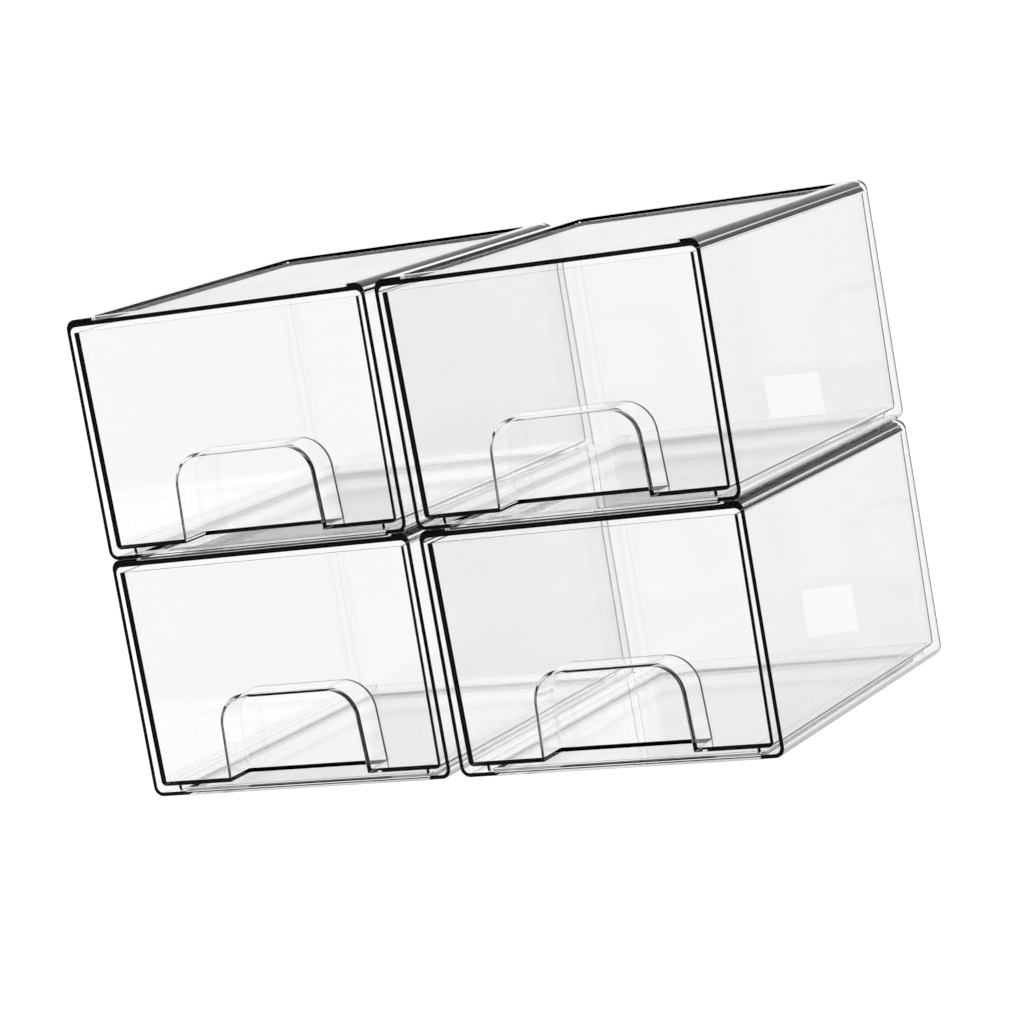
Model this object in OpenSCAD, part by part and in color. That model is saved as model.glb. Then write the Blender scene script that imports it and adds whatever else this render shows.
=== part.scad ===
// Set of four clear stacking drawer boxes for make-up: two columns of two.
// Each box is an open-fronted case with a raised rim round its top and a hollow foot below,
// and a lidless drawer that slides on two thin rails and is pulled at an arched finger niche.
// X runs to the right, Y from front to back, Z up; the set stands on Z = 0.

/* [Case] */
// Width of one case at its front
case_w = 160; // [140:0.5:190]
// Depth of one case, front to back
case_d = 193.4; // [160:0.5:230]
// Height of one case without its foot pad, and so the pitch of the stack
case_h = 113.4; // [95:0.5:140]
// Thickness of the case's sides and back
case_wall = 1.85; // [1.4:0.05:2.6]
// Thickness of the case's floor
case_floor = 1.8; // [1.4:0.05:2.6]
// Thickness of the case's top panel inside the rim
top_panel = 1.8; // [1.4:0.05:2.6]
// Outer radius of the case's long edges
edge_r = 4.7; // [3.5:0.1:7]
// Outer radius of the edges at the case's back
back_r = 5; // [3.5:0.1:7]
// Draft of the case's sides, in degrees: the back is narrower than the front
side_draft = 0.39; // [0.1:0.01:0.8]

/* [Stacking rim and foot] */
// Height of the rim above the top panel
rim_h = 1.7; // [1.2:0.1:3]
// Width of the rim along the sides
rim_side = 11.1; // [9:0.1:16]
// Width of the rim along the front
rim_front = 5.2; // [4:0.1:10]
// Width of the rim along the back
rim_back = 9.5; // [8:0.1:14]
// Plan radius of the rim's inner corners at the back
rim_back_r = 5; // [3:0.5:8]
// Plan radius of the rim's inner corners at the front
rim_front_r = 3.5; // [3:0.5:8]
// Clearance all round between a foot and the rim that it drops into
foot_gap = 1.1; // [0.8:0.1:3]
// Clearance below a stacked foot
foot_float = 0.1; // [0.05:0.05:0.4]

/* [Rails] */
// Height of the rails that carry the drawer
rail_h = 2.95; // [2:0.05:4.5]
// Width of a rail
rail_w = 1.5; // [1:0.1:2.5]
// Distance from the case's front to a rail
rail_setback = 2.5; // [1:0.5:6]

/* [Drawer] */
// Thickness of the drawer's walls
drawer_wall = 1.95; // [1.4:0.05:2.8]
// Thickness of the drawer's floor
drawer_floor = 1.75; // [1.4:0.05:2.8]
// Clearance between the drawer's upper edge and the case, each side
drawer_side_gap = 1.7; // [1:0.1:3]
// Clearance between the drawer's upper edge and the top panel
drawer_head_gap = 2.6; // [1.5:0.1:5]
// Clearance between the drawer and the case's back
drawer_back_gap = 0.75; // [0.4:0.05:2]
// How much narrower the drawer is at its floor than at its upper edge, each side
drawer_lean = 1.15; // [0.3:0.05:2]

/* [Finger niche] */
// Width of the niche at the drawer's underside
niche_w = 74; // [60:0.5:90]
// Height of the niche above the drawer's underside
niche_h = 39.3; // [32:0.5:55]
// Radius of the niche's upper corners
niche_r = 13.5; // [8:0.5:18]
// Lean of the niche's sides, in degrees: it is narrower above
niche_lean = 2.2; // [0.5:0.1:5]
// Depth of the niche behind the drawer's front
niche_depth = 17.5; // [14:0.5:26]
// Thickness of the niche's walls
niche_wall = 1.5; // [1.2:0.05:2.8]

/* [Set] */
// Gap between the two columns at their fronts
column_gap = 5.2; // [2:0.1:20]

/* [Hidden] */
$fn = 96;

// Over-length that lets a cut run clear of the face it opens
past = 1;
// Straight steps in a quarter round of an outline
arc_steps = 16;

foot_h = rim_h - foot_float;
// The rails stand over the middle of the foot's side walls
rail_x = case_w / 2 - rim_side - foot_gap - case_floor / 2;
column_x = (case_w + column_gap) / 2;
ceiling_z = case_h - rim_h - top_panel;
drawer_z = case_floor + rail_h;
drawer_top_z = ceiling_z - drawer_head_gap;
drawer_h = drawer_top_z - drawer_z;
drawer_d = case_d - case_wall - drawer_back_gap;
drawer_half = case_w / 2 - case_wall - drawer_side_gap;
lean_angle = atan(drawer_lean / drawer_h);

// Half the width that is left at depth y where the drafted side starts at half_w
function half_at(half_w, y) = half_w - y * tan(side_draft);

// --- Outlines -------------------------------------------------------------

// Points along an arc of radius r about c, from direction a0 to direction a1
function arc(c, r, a0, a1) = [
    for (i = [0 : arc_steps])
        let (a = a0 + (a1 - a0) * i / arc_steps) c + r * [cos(a), sin(a)]
];

// A right-hand outline followed by its mirror image in the middle line
function both_sides(right) = concat(
    right, [for (i = [len(right) - 1 : -1 : 0]) [-right[i].x, right[i].y]]
);

// Centre of an arc of radius r that touches a drafted side from inside at depth y
function inside_side(half_w, r, y) = [half_at(half_w, y) - r / cos(side_draft), y];

// Plan of the recess inside the rim, and of what nests in it, drawn in on all sides by inset
function recess_outline(inset) =
    let (
        half_w = case_w / 2 - rim_side - inset,
        y0 = rim_front + inset,
        y1 = case_d - rim_back - inset,
        r0 = max(rim_front_r - inset, 0.4),
        r1 = max(rim_back_r - inset, 0.4)
    )
    both_sides(concat(
        arc(inside_side(half_w, r0, y0 + r0), r0, -90, side_draft),
        arc(inside_side(half_w, r1, y1 - r1), r1, side_draft, 90)
    ));

// Arch of the niche, grown outwards by grow and carried down by below; x across, y up from the
// drawer's underside
function niche_outline(grow, below) =
    let (
        base_half = niche_w / 2 + grow / cos(niche_lean),
        top = niche_h + grow,
        r = niche_r + grow,
        centre = [base_half - (top - r) * tan(niche_lean) - r / cos(niche_lean), top - r]
    )
    both_sides(concat([[base_half, -below], [base_half, 0]], arc(centre, r, niche_lean, 90)));

// What lies outside an arc of radius r about c, from direction a0 to direction a1
module arc_corner(c, r, a0, a1) {
    reach = 3 * r;
    difference() {
        polygon([
            c,
            c + reach * [cos(a0), sin(a0)],
            c + reach * [cos(a0) + cos(a1), sin(a0) + sin(a1)],
            c + reach * [cos(a1), sin(a1)]
        ]);
        translate(c) circle(r);
    }
}

// --- Building blocks ------------------------------------------------------

// Extrudes an outline drawn as x across and y up along Y, from y0 to y1
module along_y(y0, y1) {
    translate([0, y1, 0]) rotate([90, 0, 0]) linear_extrude(y1 - y0) children();
}

// Block with rounded long edges, drafted sides and rounded edges at its back
module case_block(half_w, z0, z1, y0, y1, long_r, rear_r) {
    h = z1 - z0;
    skew = half_w * sin(side_draft) + past;
    difference() {
        for (side = [0, 1]) mirror([side, 0, 0]) intersection() {
            translate([0, y0, z0]) cube([half_w, y1 - y0, h]);
            translate([half_w, 0, z0]) rotate([0, 0, side_draft])
                along_y(y0 - skew, y1 + skew) {
                    translate([-half_w - skew - long_r, 0]) square([half_w + skew, h]);
                    translate([-2 * long_r, long_r]) square([2 * long_r, h - 2 * long_r]);
                    translate([-long_r, long_r]) circle(long_r);
                    translate([-long_r, h - long_r]) circle(long_r);
                }
        }
        // Upright edges at the back
        translate([0, 0, z0 - past]) linear_extrude(h + 2 * past)
            for (side = [0, 1]) mirror([side, 0])
                arc_corner(inside_side(half_w, rear_r, y1 - rear_r), rear_r, side_draft, 90);
        // Level edges at the back
        translate([-half_w - past, 0, 0]) rotate([90, 0, 90])
            linear_extrude(2 * (half_w + past)) {
                arc_corner([y1 - rear_r, z1 - rear_r], rear_r, 0, 90);
                arc_corner([y1 - rear_r, z0 + rear_r], rear_r, 0, -90);
            }
    }
}

// Keeps what lies between two sides that pass half_w at height z, lean outwards and are drafted
module between_sides(half_w, z) {
    reach = 2 * (case_w + case_d + case_h);
    difference() {
        children();
        for (side = [0, 1]) mirror([side, 0, 0])
            translate([half_w, 0, z]) rotate([0, lean_angle, side_draft])
                translate([0, -reach / 2, -reach / 2]) cube(reach);
    }
}

// --- Pieces, each about its own column's centre line, front at y = 0 --------

// The hollow that takes the drawer
module case_hollow() {
    case_block(
        case_w / 2 - case_wall, case_floor, ceiling_z, -past, case_d - case_wall,
        edge_r - case_wall, back_r - case_wall);
}

// Solid between two levels of the recess's plan, drawn in by inset
module recess(inset, z0, z1) {
    translate([0, 0, z0]) linear_extrude(z1 - z0) polygon(recess_outline(inset));
}

module rails() {
    rail_top = case_floor + rail_h;
    rail_end = case_d - case_wall;
    for (side = [0, 1]) mirror([side, 0, 0])
        translate([rail_x - rail_w / 2, rail_setback, case_floor / 2])
            cube([rail_w, rail_end - rail_setback, rail_top - case_floor / 2]);
}

// The top is sunk inside the rim and the floor inside the foot, so no wall is thick
module case() {
    difference() {
        union() {
            case_block(case_w / 2, 0, case_h, 0, case_d, edge_r, back_r);
            recess(foot_gap, -foot_h, case_floor / 2);
        }
        case_hollow();
        recess(0, case_h - rim_h, case_h + past);
        recess(foot_gap + case_floor, case_floor - foot_h, 2 * case_floor);
    }
    rails();
}

module drawer_tray() {
    wall_across = drawer_wall / cos(lean_angle) / cos(side_draft);
    difference() {
        between_sides(drawer_half, drawer_top_z)
            translate([-case_w / 2, 0, drawer_z]) cube([case_w, drawer_d, drawer_h]);
        between_sides(drawer_half - wall_across, drawer_top_z)
            translate([-case_w / 2, drawer_wall, drawer_z + drawer_floor])
                cube([case_w, drawer_d - 2 * drawer_wall, drawer_h]);
    }
}

module drawer() {
    difference() {
        union() {
            drawer_tray();
            translate([0, 0, drawer_z])
                along_y(0, niche_depth + niche_wall) polygon(niche_outline(niche_wall, 0));
        }
        translate([0, 0, drawer_z])
            along_y(-past, niche_depth) polygon(niche_outline(0, past));
    }
}

// --- The set ----------------------------------------------------------------

// Stands its child in column -1 (left) or 1 (right), in row 0 (lower) or 1 (upper)
module placed(column, row) {
    translate([column * column_x, -case_d / 2, foot_h + row * case_h]) children();
}

module lower_left_case() {
    color([0.80, 0.84, 0.88, 0.45]) placed(-1, 0) case();
}

module lower_left_drawer() {
    color([0.92, 0.94, 0.96, 0.45]) placed(-1, 0) drawer();
}

module upper_left_case() {
    color([0.80, 0.84, 0.88, 0.45]) placed(-1, 1) case();
}

module upper_left_drawer() {
    color([0.92, 0.94, 0.96, 0.45]) placed(-1, 1) drawer();
}

module lower_right_case() {
    color([0.80, 0.84, 0.88, 0.45]) placed(1, 0) case();
}

module lower_right_drawer() {
    color([0.92, 0.94, 0.96, 0.45]) placed(1, 0) drawer();
}

module upper_right_case() {
    color([0.80, 0.84, 0.88, 0.45]) placed(1, 1) case();
}

module upper_right_drawer() {
    color([0.92, 0.94, 0.96, 0.45]) placed(1, 1) drawer();
}

lower_left_case();
lower_left_drawer();
upper_left_case();
upper_left_drawer();
lower_right_case();
lower_right_drawer();
upper_right_case();
upper_right_drawer();
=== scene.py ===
"""Clear stacking make-up drawers: a case moulding and a drawer moulding, set up as four units.

Every length is in metres. A unit is one case with its drawer. It is drawn about its own middle
line, with its front at y = 0 and the level of the case's underside at z = 0, and is then moved to
its place in the set. The foot reaches below that level, into the rim of the case that it stands on.
"""

import math

import bmesh
import bpy
from mathutils import Matrix, Vector


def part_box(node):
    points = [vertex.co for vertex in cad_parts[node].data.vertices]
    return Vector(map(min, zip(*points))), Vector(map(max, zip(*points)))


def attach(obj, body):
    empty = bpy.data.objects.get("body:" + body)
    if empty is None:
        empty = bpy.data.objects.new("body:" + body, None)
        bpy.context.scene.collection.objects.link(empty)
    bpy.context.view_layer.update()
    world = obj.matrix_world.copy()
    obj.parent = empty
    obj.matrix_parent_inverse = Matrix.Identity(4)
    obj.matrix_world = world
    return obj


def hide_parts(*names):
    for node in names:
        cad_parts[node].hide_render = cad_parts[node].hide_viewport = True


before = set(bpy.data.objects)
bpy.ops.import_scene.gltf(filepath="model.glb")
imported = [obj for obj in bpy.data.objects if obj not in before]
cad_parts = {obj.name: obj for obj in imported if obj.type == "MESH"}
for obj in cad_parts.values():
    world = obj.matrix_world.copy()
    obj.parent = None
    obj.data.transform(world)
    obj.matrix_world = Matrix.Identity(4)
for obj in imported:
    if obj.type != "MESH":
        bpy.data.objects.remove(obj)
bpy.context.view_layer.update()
scene = bpy.context.scene

MM = 0.001

# --- Sizes of the case ------------------------------------------------------------------------

CASE_WALL = 1.85 * MM
CASE_FLOOR = 1.8 * MM
TOP_PANEL = 1.8 * MM
EDGE_RADIUS = 4.7 * MM
# Steps round each of its rounded edges, and along each arc of an outline
EDGE_STEPS = 12
ARC_STEPS = 24
# How far each side draws in per metre of depth, on the case and the drawer alike
SIDE_DRAFT = math.tan(math.radians(0.39))
# The rim round the sunk top: its height, its widths and the radii of its inner corners
RIM_HEIGHT = 1.7 * MM
RIM_SIDE = 11.1 * MM
RIM_FRONT = 5.2 * MM
RIM_BACK = 9.5 * MM
RIM_FRONT_RADIUS = 3.5 * MM
RIM_BACK_RADIUS = 5 * MM
FOOT_HEIGHT = 1.6 * MM
# Clearance of the foot in the rim that it nests in
FOOT_GAP = 1.1 * MM
# The rails under the drawer: how high they stand, how wide they are and how far back they start
RAIL_HEIGHT = 2.95 * MM
RAIL_WIDTH = 1.5 * MM
RAIL_SETBACK = 2.5 * MM

# --- Sizes of the drawer ----------------------------------------------------------------------

DRAWER_WALL = 1.95 * MM
DRAWER_FLOOR = 1.75 * MM
# How far each side leans in from its top to the floor
DRAWER_LEAN = 1.15 * MM
# Rounding of its lower edges at the sides and back, and of its upright edges at the back
DRAWER_RADIUS = 2.5 * MM
DRAWER_STEPS = 8
NICHE_WIDTH = 74 * MM
NICHE_HEIGHT = 39.3 * MM
NICHE_RADIUS = 13.5 * MM
# How far the niche's legs lean in per metre of height
NICHE_LEAN = math.tan(math.radians(2.2))
NICHE_DEPTH = 17.5 * MM
NICHE_WALL = 1.5 * MM
# The housing is the niche's own wall inside the tray. It starts in the tray's floor, this far up,
# and its edges at the back are rounded.
HOUSING_START = DRAWER_FLOOR / 5
HOUSING_RADIUS = 1.3 * MM
HOUSING_STEPS = 6

# --- Sizes that both share --------------------------------------------------------------------

# Small radius left by the mould on edges, and the least turn between faces that it is put on
EDGE_BREAK = 0.18 * MM
BREAK_STEPS = 3
BREAK_TURN = math.radians(40)
# Least turn that the shading shows as an edge, and how strongly large faces are kept flat
SHARP_TURN = math.radians(32)
FLAT_WEIGHT = 100
# Thin air gap kept between mouldings that rest on each other
AIR_GAP = 0.04 * MM
# Over-length that lets a cut run clear of the face it opens
PAST = 1 * MM
# Bevel profile that is a true arc
ROUND = 0.5

case_low, case_high = (Vector(corner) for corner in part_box("lower_left_case"))
drawer_low, drawer_high = (Vector(corner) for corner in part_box("lower_left_drawer"))
case_width = case_high.x - case_low.x
case_depth = case_high.y - case_low.y
case_height = case_high.z - case_low.z - FOOT_HEIGHT
ceiling = case_height - RIM_HEIGHT - TOP_PANEL
drawer_base = drawer_low.z - case_low.z - FOOT_HEIGHT
drawer_top = drawer_high.z - case_low.z - FOOT_HEIGHT
drawer_depth = drawer_high.y - drawer_low.y
drawer_half = (drawer_high.x - drawer_low.x) / 2

# --- Finish of the plastic --------------------------------------------------------------------

REFRACTION = 1.49
# Colours between which the plastic changes with its flow waves
FAINT_TINT = (0.996, 0.997, 0.997, 1)
NO_TINT = (1, 1, 1, 1)
# Flow waves of the melt: how close they lie and how fine they are, then how far they bend light
FLOW_SCALE = 9.0
FLOW_DETAIL = 1.0
WAVE_STRENGTH = 0.02
WAVE_HEIGHT = 1 * MM
# Haze from handling: how close it lies and how fine it is, then the most roughness that it gives
HAZE_SCALE = 30.0
HAZE_DETAIL = 2.0
HAZE = 0.004

# --- Studio -----------------------------------------------------------------------------------

# Tone of the floor and the air, seen straight or through the plastic
WHITE = 1.045
# Faint even veil taken off the darks
VEIL = 0.018
# Tones that a ray finds after one reflection and after more: in front of the set, on the floor
# behind it and in the air behind it
FRONT_TONES = 0.6, 0.2
FLOOR_TONES = 0.74, 1.4
AIR_TONES = 1.0, 1.3
# Half the stretch from front to back tones: metres on the floor, a share of the way in the air
FRONT_TO_BACK = 0.25
# Reflections allowed for each surface that a ray has passed, for the first few and for later ones
EARLY_ALLOWANCE = 0.1
LATE_ALLOWANCE = 0.75
EARLY_PASSAGES = 8
# Reflections beyond those allowed, over which a ray held inside a wall goes dark
HELD_FROM = 1.6
HELD_TO = 2.6
# Cards lying on the floor to the right, seen only in reflections: corners in millimetres
CARD_TONE = 1.35
CARDS = {
    "upper card": ((730, 1210), (680, 1202), (574, 959), (623, 972)),
    "lower card": ((318, 295), (291, 300), (237, 175), (260, 165)),
}
# How far the floor reaches each way, and how far it lies below the set
FLOOR_REACH = 12.0
FLOOR_DROP = 0.1 * MM
# Turns of its way that a ray is followed for: in all, through surfaces and off them
ALL_BOUNCES = 32
THROUGH_BOUNCES = 24
MIRROR_BOUNCES = 10

# --- Camera: a fit to the photograph's straight edges -------------------------------------------

# Width of the photograph and focal length, both in its pixels
FRAME_PX = 1024
FOCAL_PX = 3938.09
# Width of the film and place of the camera in millimetres, then its angles in degrees
SENSOR_WIDTH = 36
CAMERA_PLACE = (877.563, -1592.366, 357.264)
CAMERA_AZIMUTH = 28.914
CAMERA_ELEVATION = 7.927
CAMERA_ROLL = -9.994


# --- Node trees -------------------------------------------------------------------------------


class Socket:
    """An output socket, with the operators that node maths is written in."""

    def __init__(self, tree, socket):
        self.tree, self.socket = tree, socket

    def maths(self, operation, *operands):
        """Node maths of this socket's kind, on the operands or, without any, on the socket."""
        kind = "ShaderNodeVectorMath" if self.socket.type == "VECTOR" else "ShaderNodeMath"
        return self.tree.add(kind, {"operation": operation}, *(operands or (self,)))

    def __add__(self, other):
        return self.maths("ADD", self, other)

    def __sub__(self, other):
        return self.maths("SUBTRACT", self, other)

    def __rsub__(self, other):
        return self.maths("SUBTRACT", other, self)

    def __mul__(self, other):
        return self.maths("MULTIPLY", self, other)

    def __rtruediv__(self, other):
        return self.maths("DIVIDE", other, self)

    def __abs__(self):
        return self.maths("ABSOLUTE")

    __radd__ = __add__
    __rmul__ = __mul__

    def ramp(self, start, end, low, high, shape="LINEAR"):
        """Goes from low to high while the socket goes from start to end."""
        settings = {"interpolation_type": shape}
        return self.tree.add("ShaderNodeMapRange", settings, self, start, end, low, high)

    def part(self, name):
        """Another output of the same node."""
        return Socket(self.tree, self.socket.node.outputs[name])


class Tree:
    """A node tree that nodes are added to by one method."""

    def __init__(self, node_tree):
        self.nodes, self.links = node_tree.nodes, node_tree.links

    def add(self, kind, settings=None, *values, **named):
        """Adds a node: its settings first, then its inputs by place or by name, set or linked."""
        node = self.nodes.new(kind)
        for name, setting in (settings or {}).items():
            setattr(node, name, setting)
        inputs = [socket for socket in node.inputs if socket.enabled]
        for socket, value in zip(inputs, values):
            self.feed(socket, value)
        for name, value in named.items():
            label = name.replace("_", " ")
            self.feed(next(socket for socket in inputs if socket.name == label), value)
        return next((Socket(self, socket) for socket in node.outputs if socket.enabled), None)

    def feed(self, socket, value):
        """Links an input or sets it. One number stands for a grey, or for x, y and z."""
        if isinstance(value, Socket):
            self.links.new(value.socket, socket)
        elif socket.type == "VECTOR" and isinstance(value, (int, float)):
            socket.default_value = (value, value, value)
        elif socket.type == "RGBA" and isinstance(value, (int, float)):
            socket.default_value = (value, value, value, 1)
        else:
            socket.default_value = value


def emptied(owner):
    """The node tree of a material or a world, with nothing in it yet."""
    owner.use_nodes = True
    owner.node_tree.nodes.clear()
    return Tree(owner.node_tree)


# --- Shapes that follow a rule, worked out in Geometry Nodes ------------------------------------


def rule_group(name, sizes):
    """A Geometry Nodes group with named inputs, its tree, and the inputs inside it."""
    group = bpy.data.node_groups.new(name, "GeometryNodeTree")
    for label, kind in sizes.items():
        group.interface.new_socket(label, in_out="INPUT", socket_type="NodeSocket" + kind)
    group.interface.new_socket(name, in_out="OUTPUT", socket_type="NodeSocketGeometry")
    tree = Tree(group)
    return group, tree, tree.add("NodeGroupInput")


def close_rule(tree, shape, finish):
    """Ends a group's tree: instances made real, and the finish on them."""
    real = tree.add("GeometryNodeRealizeInstances", {}, shape)
    done = tree.add("GeometryNodeSetMaterial", {}, real, Material=finish)
    tree.add("NodeGroupOutput", {}, done)


def rounded_block_rule():
    """Block with one radius on every edge and sides that draw in towards the back.

    A cube's grid is sent to the block: each point goes to the nearest corner of the block's core
    and then outwards by the radius. The middle square of the cube's face becomes a flat, and what
    lies round it becomes true arcs, up to half way to the next flat.
    """
    sizes = {
        "Half size": "Vector",
        "Centre": "Vector",
        "Radius": "Float",
        "Draft per depth": "Float",
        "Steps per edge": "Int",
        "Finish": "Material",
    }
    group, tree, given = rule_group("Rounded block", sizes)
    radius = given.part("Radius")
    half_steps = given.part("Steps per edge") * 0.5
    points = given.part("Steps per edge") + 2.0
    grid = tree.add("GeometryNodeMeshCube", {}, (2, 2, 2), points, points, points)
    place = tree.add("GeometryNodeInputPosition")
    side = place.maths("SIGN")
    share = (abs(place) * (half_steps + 0.5) - 0.5) * (1.0 / half_steps)
    turn = side * (share * (math.pi / 4)).maths("TANGENT")
    outwards = turn.maths("NORMALIZE")
    core = given.part("Half size") - tree.add("ShaderNodeCombineXYZ", {}, radius, radius, radius)
    rounded = side * core + outwards.maths("SCALE", outwards, radius) + given.part("Centre")
    apart = tree.add("ShaderNodeSeparateXYZ", {}, rounded)
    x, y, z = (apart.part(axis) for axis in "XYZ")
    drawn_in = x * (1.0 - y * given.part("Draft per depth"))
    drafted = tree.add("ShaderNodeCombineXYZ", {}, drawn_in, y, z)
    block = tree.add("GeometryNodeSetPosition", {}, grid, Position=drafted)
    close_rule(tree, block, given.part("Finish"))
    return group


def rails_rule():
    """Straight rails side by side on a floor."""
    sizes = {
        "Number": "Int",
        "First": "Vector",
        "Step": "Vector",
        "Rail size": "Vector",
        "Finish": "Material",
    }
    group, tree, given = rule_group("Rails", sizes)
    row = tree.add(
        "GeometryNodeMeshLine",
        {"mode": "OFFSET"},
        Count=given.part("Number"),
        Start_Location=given.part("First"),
        Offset=given.part("Step"),
    )
    rail = tree.add("GeometryNodeMeshCube", {}, given.part("Rail size"))
    rails = tree.add("GeometryNodeInstanceOnPoints", {}, row, Instance=rail)
    close_rule(tree, rails, given.part("Finish"))
    return group


def made_by(group, **sizes):
    """The mesh that a Geometry Nodes group makes from named sizes."""
    shell = new_object(group.name, bpy.data.meshes.new(group.name))
    modifier = shell.modifiers.new(group.name, "NODES")
    modifier.node_group = group
    sockets = {
        item.name: item.identifier
        for item in group.interface.items_tree
        if item.item_type == "SOCKET" and item.in_out == "INPUT"
    }
    for name, size in sizes.items():
        modifier[sockets[name.replace("_", " ")]] = size
    return flattened(shell)


def new_object(name, data):
    """An object in the scene, at the origin."""
    made = bpy.data.objects.new(name, data)
    scene.collection.objects.link(made)
    return made


def flattened(shell):
    """Applies an object's modifiers, removes the object and returns its mesh."""
    shell.data.update()
    evaluated = shell.evaluated_get(bpy.context.evaluated_depsgraph_get())
    mesh = bpy.data.meshes.new_from_object(evaluated)
    shell.modifiers.clear()
    bpy.data.objects.remove(shell)
    return mesh


# --- Outlines and plain solids ----------------------------------------------------------------


def arc(centre, radius, start, end):
    """Points on an arc between two directions, given in degrees."""
    turns = [math.radians(start + (end - start) * i / ARC_STEPS) for i in range(ARC_STEPS + 1)]
    return [(centre[0] + radius * math.cos(t), centre[1] + radius * math.sin(t)) for t in turns]


def both_sides(right):
    """A right-hand outline followed by its mirror image."""
    return right + [(-x, y) for x, y in reversed(right)]


def rectangle(left, right, near, far):
    """The corners of a rectangle, in order round it."""
    return ((left, near), (right, near), (right, far), (left, far))


def in_plan(x, y, level):
    """Where a point of an outline seen from above lies, at a level."""
    return x, y, level


def from_front(x, z, depth):
    """Where a point of an outline seen from the front lies, at a depth."""
    return x, depth, z


def prism(outline, start, end, seen=in_plan, radius=0, steps=1):
    """Solid of one outline between two levels or depths. A radius rounds its far end's edges."""
    mesh = bpy.data.meshes.new("prism")
    made = bmesh.new()
    first, last = (
        [made.verts.new(seen(*point, level)) for point in outline] for level in (start, end)
    )
    for i in range(len(outline)):
        j = (i + 1) % len(outline)
        made.faces.new((first[i], first[j], last[j], last[i]))
    made.faces.new(list(reversed(first)))
    made.faces.new(last)
    bmesh.ops.recalc_face_normals(made, faces=made.faces)
    if radius:
        edges = [edge for edge in made.edges if all(vert in last for vert in edge.verts)]
        round_off(made, edges, radius, steps)
    made.to_mesh(mesh)
    made.free()
    return mesh


def leaning_box(half_at_top, low_y, high_y, low_z, high_z, radius=0, steps=1):
    """Box whose sides lean in towards its floor and draw in towards its back.

    A radius rounds its lower edges at the sides and back, and its upright edges at the back.
    """

    def half(y, z):
        lean = DRAWER_LEAN * (drawer_top - z) / (drawer_top - drawer_base)
        return half_at_top - lean - SIDE_DRAFT * y

    def rounded(edge):
        first, second = (vert.co for vert in edge.verts)
        low = max(first.z, second.z) < low_z + radius
        front = max(first.y, second.y) < low_y + radius
        back = min(first.y, second.y) > high_y - radius
        upright = abs(first.z - second.z) > radius
        return (low and not front) or (back and upright)

    mesh = bpy.data.meshes.new("leaning box")
    made = bmesh.new()
    corner = {
        (s, y, z): made.verts.new((s * half(y, z), y, z))
        for s in (-1, 1)
        for y in (low_y, high_y)
        for z in (low_z, high_z)
    }
    for s in (-1, 1):
        made.faces.new([corner[s, y, z] for y, z in rectangle(low_y, high_y, low_z, high_z)])
    for y in (low_y, high_y):
        made.faces.new([corner[s, y, z] for s, z in rectangle(-1, 1, low_z, high_z)])
    for z in (low_z, high_z):
        made.faces.new([corner[s, y, z] for s, y in rectangle(-1, 1, low_y, high_y)])
    bmesh.ops.recalc_face_normals(made, faces=made.faces)
    if radius:
        round_off(made, [edge for edge in made.edges if rounded(edge)], radius, steps)
    made.to_mesh(mesh)
    made.free()
    return mesh


def round_off(made, edges, radius, steps):
    """Rounds some edges of a solid in the making."""
    bmesh.ops.bevel(
        made, geom=edges, offset=radius, segments=steps, profile=ROUND, affect="EDGES"
    )


def combined(name, base, *steps):
    """Cuts solids from a base mesh, or adds them to it, in order."""
    body = new_object(name, base)
    tools = [new_object(operation, mesh) for operation, mesh in steps]
    for tool, (operation, _) in zip(tools, steps):
        boolean = body.modifiers.new(operation, "BOOLEAN")
        boolean.operation, boolean.solver, boolean.object = operation, "EXACT", tool
    mesh = flattened(body)
    for tool in tools:
        bpy.data.objects.remove(tool)
    return mesh


def softened(name, mesh, finish):
    """Breaks a moulding's sharp edges by the mould's small radius and shades its flats flat."""
    mesh.materials.clear()
    mesh.materials.append(finish)
    mesh.shade_smooth()
    body = new_object(name, mesh)
    bevel = body.modifiers.new("edge break", "BEVEL")
    bevel.width, bevel.segments = EDGE_BREAK, BREAK_STEPS
    bevel.limit_method, bevel.angle_limit = "ANGLE", BREAK_TURN
    broken = flattened(body)
    broken.set_sharp_from_angle(angle=SHARP_TURN)
    body = new_object(name, broken)
    shading = body.modifiers.new("flat shading", "WEIGHTED_NORMAL")
    shading.mode, shading.weight, shading.keep_sharp = "FACE_AREA", FLAT_WEIGHT, True
    return flattened(body)


# --- The two mouldings ------------------------------------------------------------------------


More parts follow.
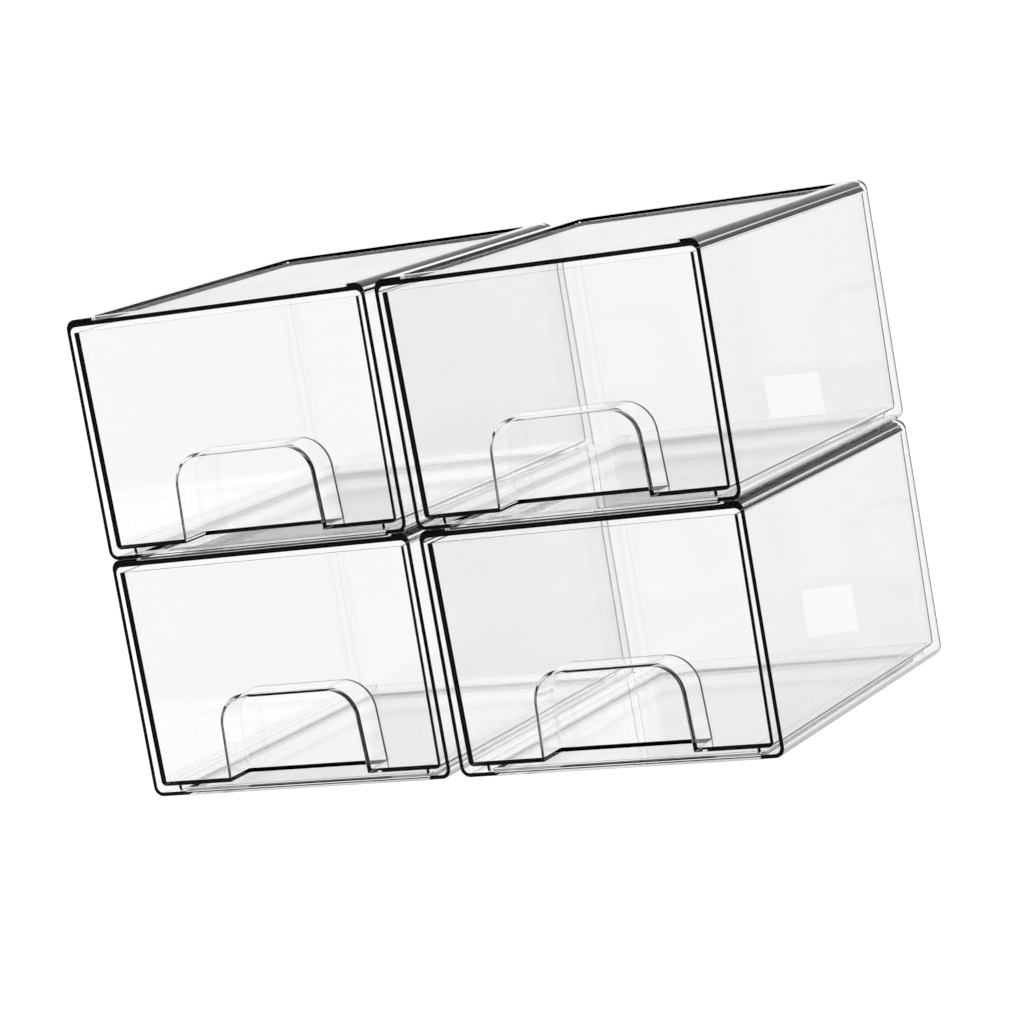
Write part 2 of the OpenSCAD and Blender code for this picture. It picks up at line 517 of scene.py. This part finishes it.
def case_mesh(finish):
    """The case: a shell open at the front, with its rim, sunk top, hollow foot and two rails."""
    block = rounded_block_rule()
    # The blocks start in front of the case, and their rounded front ends are cut off
    block_front = -2 * EDGE_RADIUS

    def rounded_block(half, low_z, high_z, back, radius):
        return made_by(
            block,
            Half_size=(half, (back - block_front) / 2, (high_z - low_z) / 2),
            Centre=(0, (back + block_front) / 2, (high_z + low_z) / 2),
            Radius=radius,
            Draft_per_depth=SIDE_DRAFT / half,
            Steps_per_edge=EDGE_STEPS,
            Finish=finish,
        )

    inner_half = case_width / 2 - CASE_WALL
    inner_back = case_depth - CASE_WALL
    inner_radius = EDGE_RADIUS - CASE_WALL
    outer = rounded_block(case_width / 2, 0, case_height - AIR_GAP, case_depth, EDGE_RADIUS)
    hollow = rounded_block(inner_half, CASE_FLOOR, ceiling, inner_back, inner_radius)
    ahead = rectangle(-case_width, case_width, 2 * block_front, 0)
    # What is added to the floor starts half way into it. The foot is as thick, for it is the floor
    # pressed down, and the rails stand over its wall.
    in_floor = CASE_FLOOR / 2
    foot_wall = CASE_FLOOR
    rail_x = case_width / 2 - RIM_SIDE - FOOT_GAP - foot_wall / 2
    rail_top = CASE_FLOOR + RAIL_HEIGHT - AIR_GAP
    rails = made_by(
        rails_rule(),
        Number=2,
        First=(-rail_x, (RAIL_SETBACK + inner_back) / 2, (in_floor + rail_top) / 2),
        Step=(2 * rail_x, 0, 0),
        Rail_size=(RAIL_WIDTH, inner_back - RAIL_SETBACK, rail_top - in_floor),
        Finish=finish,
    )
    foot_hollow = recess_outline(FOOT_GAP + foot_wall)
    whole = combined(
        "case",
        outer,
        ("DIFFERENCE", hollow),
        ("DIFFERENCE", prism(ahead, -case_height, 2 * case_height)),
        ("DIFFERENCE", prism(recess_outline(0), case_height - RIM_HEIGHT, case_height + PAST)),
        ("UNION", prism(recess_outline(FOOT_GAP), -FOOT_HEIGHT, in_floor)),
        ("DIFFERENCE", prism(foot_hollow, CASE_FLOOR - FOOT_HEIGHT, CASE_FLOOR + PAST)),
        ("UNION", rails),
    )
    return softened("case", whole, finish)


def recess_outline(inset):
    """Plan of the sunk top inside the rim, and of what nests in it, drawn in on all sides."""
    half = case_width / 2 - RIM_SIDE - inset
    front_radius, back_radius = RIM_FRONT_RADIUS - inset, RIM_BACK_RADIUS - inset
    front = RIM_FRONT + inset + front_radius
    back = case_depth - RIM_BACK - inset - back_radius

    def corner(y, radius, start):
        return arc((half - y * SIDE_DRAFT - radius, y), radius, start, start + 90)

    return both_sides(corner(front, front_radius, -90) + corner(back, back_radius, 0))


def drawer_mesh(finish):
    """The drawer: a tray whose front has an arched niche, with a housing round it inside."""
    inner_half = drawer_half - DRAWER_WALL
    inner_back = drawer_depth - DRAWER_WALL
    floor_top = drawer_base + DRAWER_FLOOR
    tray = leaning_box(
        drawer_half, 0, drawer_depth, drawer_base, drawer_top, DRAWER_RADIUS, DRAWER_STEPS
    )
    well = leaning_box(inner_half, DRAWER_WALL, inner_back, floor_top, drawer_top + PAST)
    housing = prism(
        niche_outline(NICHE_WALL, -HOUSING_START),
        DRAWER_WALL / 2,
        NICHE_DEPTH + NICHE_WALL,
        from_front,
        HOUSING_RADIUS,
        HOUSING_STEPS,
    )
    niche = prism(niche_outline(0, PAST), -PAST, NICHE_DEPTH, from_front)
    whole = combined(
        "drawer", tray, ("DIFFERENCE", well), ("UNION", housing), ("DIFFERENCE", niche)
    )
    return softened("drawer", whole, finish)


def niche_outline(grow, below):
    """Arch of the finger niche from the front, grown all round, and begun below the underside."""
    half, top, radius = NICHE_WIDTH / 2 + grow, NICHE_HEIGHT + grow, NICHE_RADIUS + grow
    centre = (half - (top - radius) * NICHE_LEAN - radius, top - radius)
    right = [(half, -below)] + arc(centre, radius, 0, 90)
    return [(x, drawer_base + z) for x, z in both_sides(right)]


def clear_plastic(name):
    """Clear polished moulding with faint flow waves and a trace of handling haze."""
    material = bpy.data.materials.new(name)
    tree = emptied(material)
    spot = tree.add("ShaderNodeTexCoord").part("Object")
    flow = tree.add("ShaderNodeTexNoise", {}, spot, FLOW_SCALE, FLOW_DETAIL)
    haze = tree.add("ShaderNodeTexNoise", {}, spot, HAZE_SCALE, HAZE_DETAIL)
    plastic = tree.add(
        "ShaderNodeBsdfPrincipled",
        {},
        Transmission_Weight=1.0,
        IOR=REFRACTION,
        Roughness=haze * HAZE,
        Base_Color=tree.add("ShaderNodeMix", {"data_type": "RGBA"}, flow, FAINT_TINT, NO_TINT),
        Normal=tree.add("ShaderNodeBump", {}, WAVE_STRENGTH, WAVE_HEIGHT, Height=flow),
    )
    tree.add("ShaderNodeOutputMaterial", {}, plastic)
    return material


def in_place(moulding, node, base):
    """A copy of a moulding, set where a node of the frame stands and taking that node's place.

    The base is the level of the moulding's lowest point in its unit.
    """
    low, high = (Vector(corner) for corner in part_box(node))
    mesh = moulding.copy()
    mesh.transform(Matrix.Translation(((low.x + high.x) / 2, low.y, low.z - base)))
    piece = new_object(node + "_moulding", mesh)
    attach(piece, node)
    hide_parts(node)
    return piece


# --- What stands round the set ----------------------------------------------------------------


def studio():
    """An even white studio: air and floor that dim only what the plastic mirrors, and two cards."""
    scene.world = bpy.data.worlds.new("studio")
    tree = emptied(scene.world)
    air = tree.add("ShaderNodeBackground", {}, studio_tone(tree, "Generated", AIR_TONES))
    tree.add("ShaderNodeOutputWorld", {}, air)
    reach = rectangle(-FLOOR_REACH, FLOOR_REACH, -FLOOR_REACH, FLOOR_REACH)
    glowing_sheet(
        "floor",
        [(x, y, -FLOOR_DROP) for x, y in reach],
        lambda tree: studio_tone(tree, "Object", FLOOR_TONES),
    )
    for name, corners in CARDS.items():
        card = glowing_sheet(name, [(x * MM, y * MM, 0) for x, y in corners], lambda _: CARD_TONE)
        card.visible_camera = card.visible_diffuse = card.visible_transmission = False
        card.visible_shadow = card.visible_volume_scatter = False
    view = scene.view_settings
    view.view_transform = "Standard"
    view.use_curve_mapping = True
    view.curve_mapping.black_level = (VEIL, VEIL, VEIL)
    view.curve_mapping.update()
    scene.cycles.max_bounces = ALL_BOUNCES
    scene.cycles.transmission_bounces = THROUGH_BOUNCES
    scene.cycles.glossy_bounces = MIRROR_BOUNCES


def glowing_sheet(name, corners, tone_on):
    """A flat sheet of the studio that gives off white light, in a tone made on its own tree."""
    paint = bpy.data.materials.new(name)
    tree = emptied(paint)
    light = tree.add("ShaderNodeEmission", {}, tone_on(tree))
    tree.add("ShaderNodeOutputMaterial", {}, light)
    mesh = bpy.data.meshes.new(name)
    mesh.from_pydata(corners, [], [(0, 1, 2, 3)])
    mesh.materials.append(paint)
    sheet = new_object(name, mesh)
    return sheet


def studio_tone(tree, coordinates, back_tones):
    """White for what is seen straight or through the plastic, greyer for what is mirrored."""
    place = tree.add("ShaderNodeTexCoord").part(coordinates)
    depth_ways = tree.add("ShaderNodeSeparateXYZ", {}, place).part("Y")
    path = tree.add("ShaderNodeLightPath")
    mirrored, passages = path.part("Glossy Depth"), path.part("Transmission Depth")
    front, back = (mirrored.ramp(1.0, 2.0, *tones) for tones in (FRONT_TONES, back_tones))
    found = depth_ways.ramp(-FRONT_TO_BACK, FRONT_TO_BACK, front, back, "SMOOTHSTEP")
    late_start = EARLY_PASSAGES * (LATE_ALLOWANCE - EARLY_ALLOWANCE)
    early, late = passages * EARLY_ALLOWANCE, passages * LATE_ALLOWANCE - late_start
    held = mirrored - early.maths("MAXIMUM", early, late)
    fade = held.ramp(HELD_FROM, HELD_TO, 1.0, 0.0)
    any_mirror = mirrored.maths("MINIMUM", mirrored, 1.0)
    return (1.0 - any_mirror) * WHITE + any_mirror * found * fade


def camera():
    """The photograph's view."""
    azimuth, elevation, roll = (
        math.radians(angle) for angle in (CAMERA_AZIMUTH, CAMERA_ELEVATION, CAMERA_ROLL)
    )
    back = Vector(
        (
            math.sin(azimuth) * math.cos(elevation),
            -math.cos(azimuth) * math.cos(elevation),
            math.sin(elevation),
        )
    )
    lens = bpy.data.cameras.new("camera")
    lens.sensor_width = SENSOR_WIDTH
    lens.lens = SENSOR_WIDTH * FOCAL_PX / FRAME_PX
    turn = (-back).to_track_quat("-Z", "Y").to_matrix() @ Matrix.Rotation(roll, 3, "Z")
    scene.camera = new_object("camera", lens)
    scene.camera.matrix_world = Matrix.Translation(Vector(CAMERA_PLACE) * MM) @ turn.to_4x4()


# --- The set ----------------------------------------------------------------------------------

camera()
studio()
case_made = case_mesh(clear_plastic("clear case"))
drawer_made = drawer_mesh(clear_plastic("clear drawer"))
for row in ("lower", "upper"):
    for column in ("left", "right"):
        unit = f"{row}_{column}"
        in_place(case_made, unit + "_case", -FOOT_HEIGHT)
        in_place(drawer_made, unit + "_drawer", drawer_base)
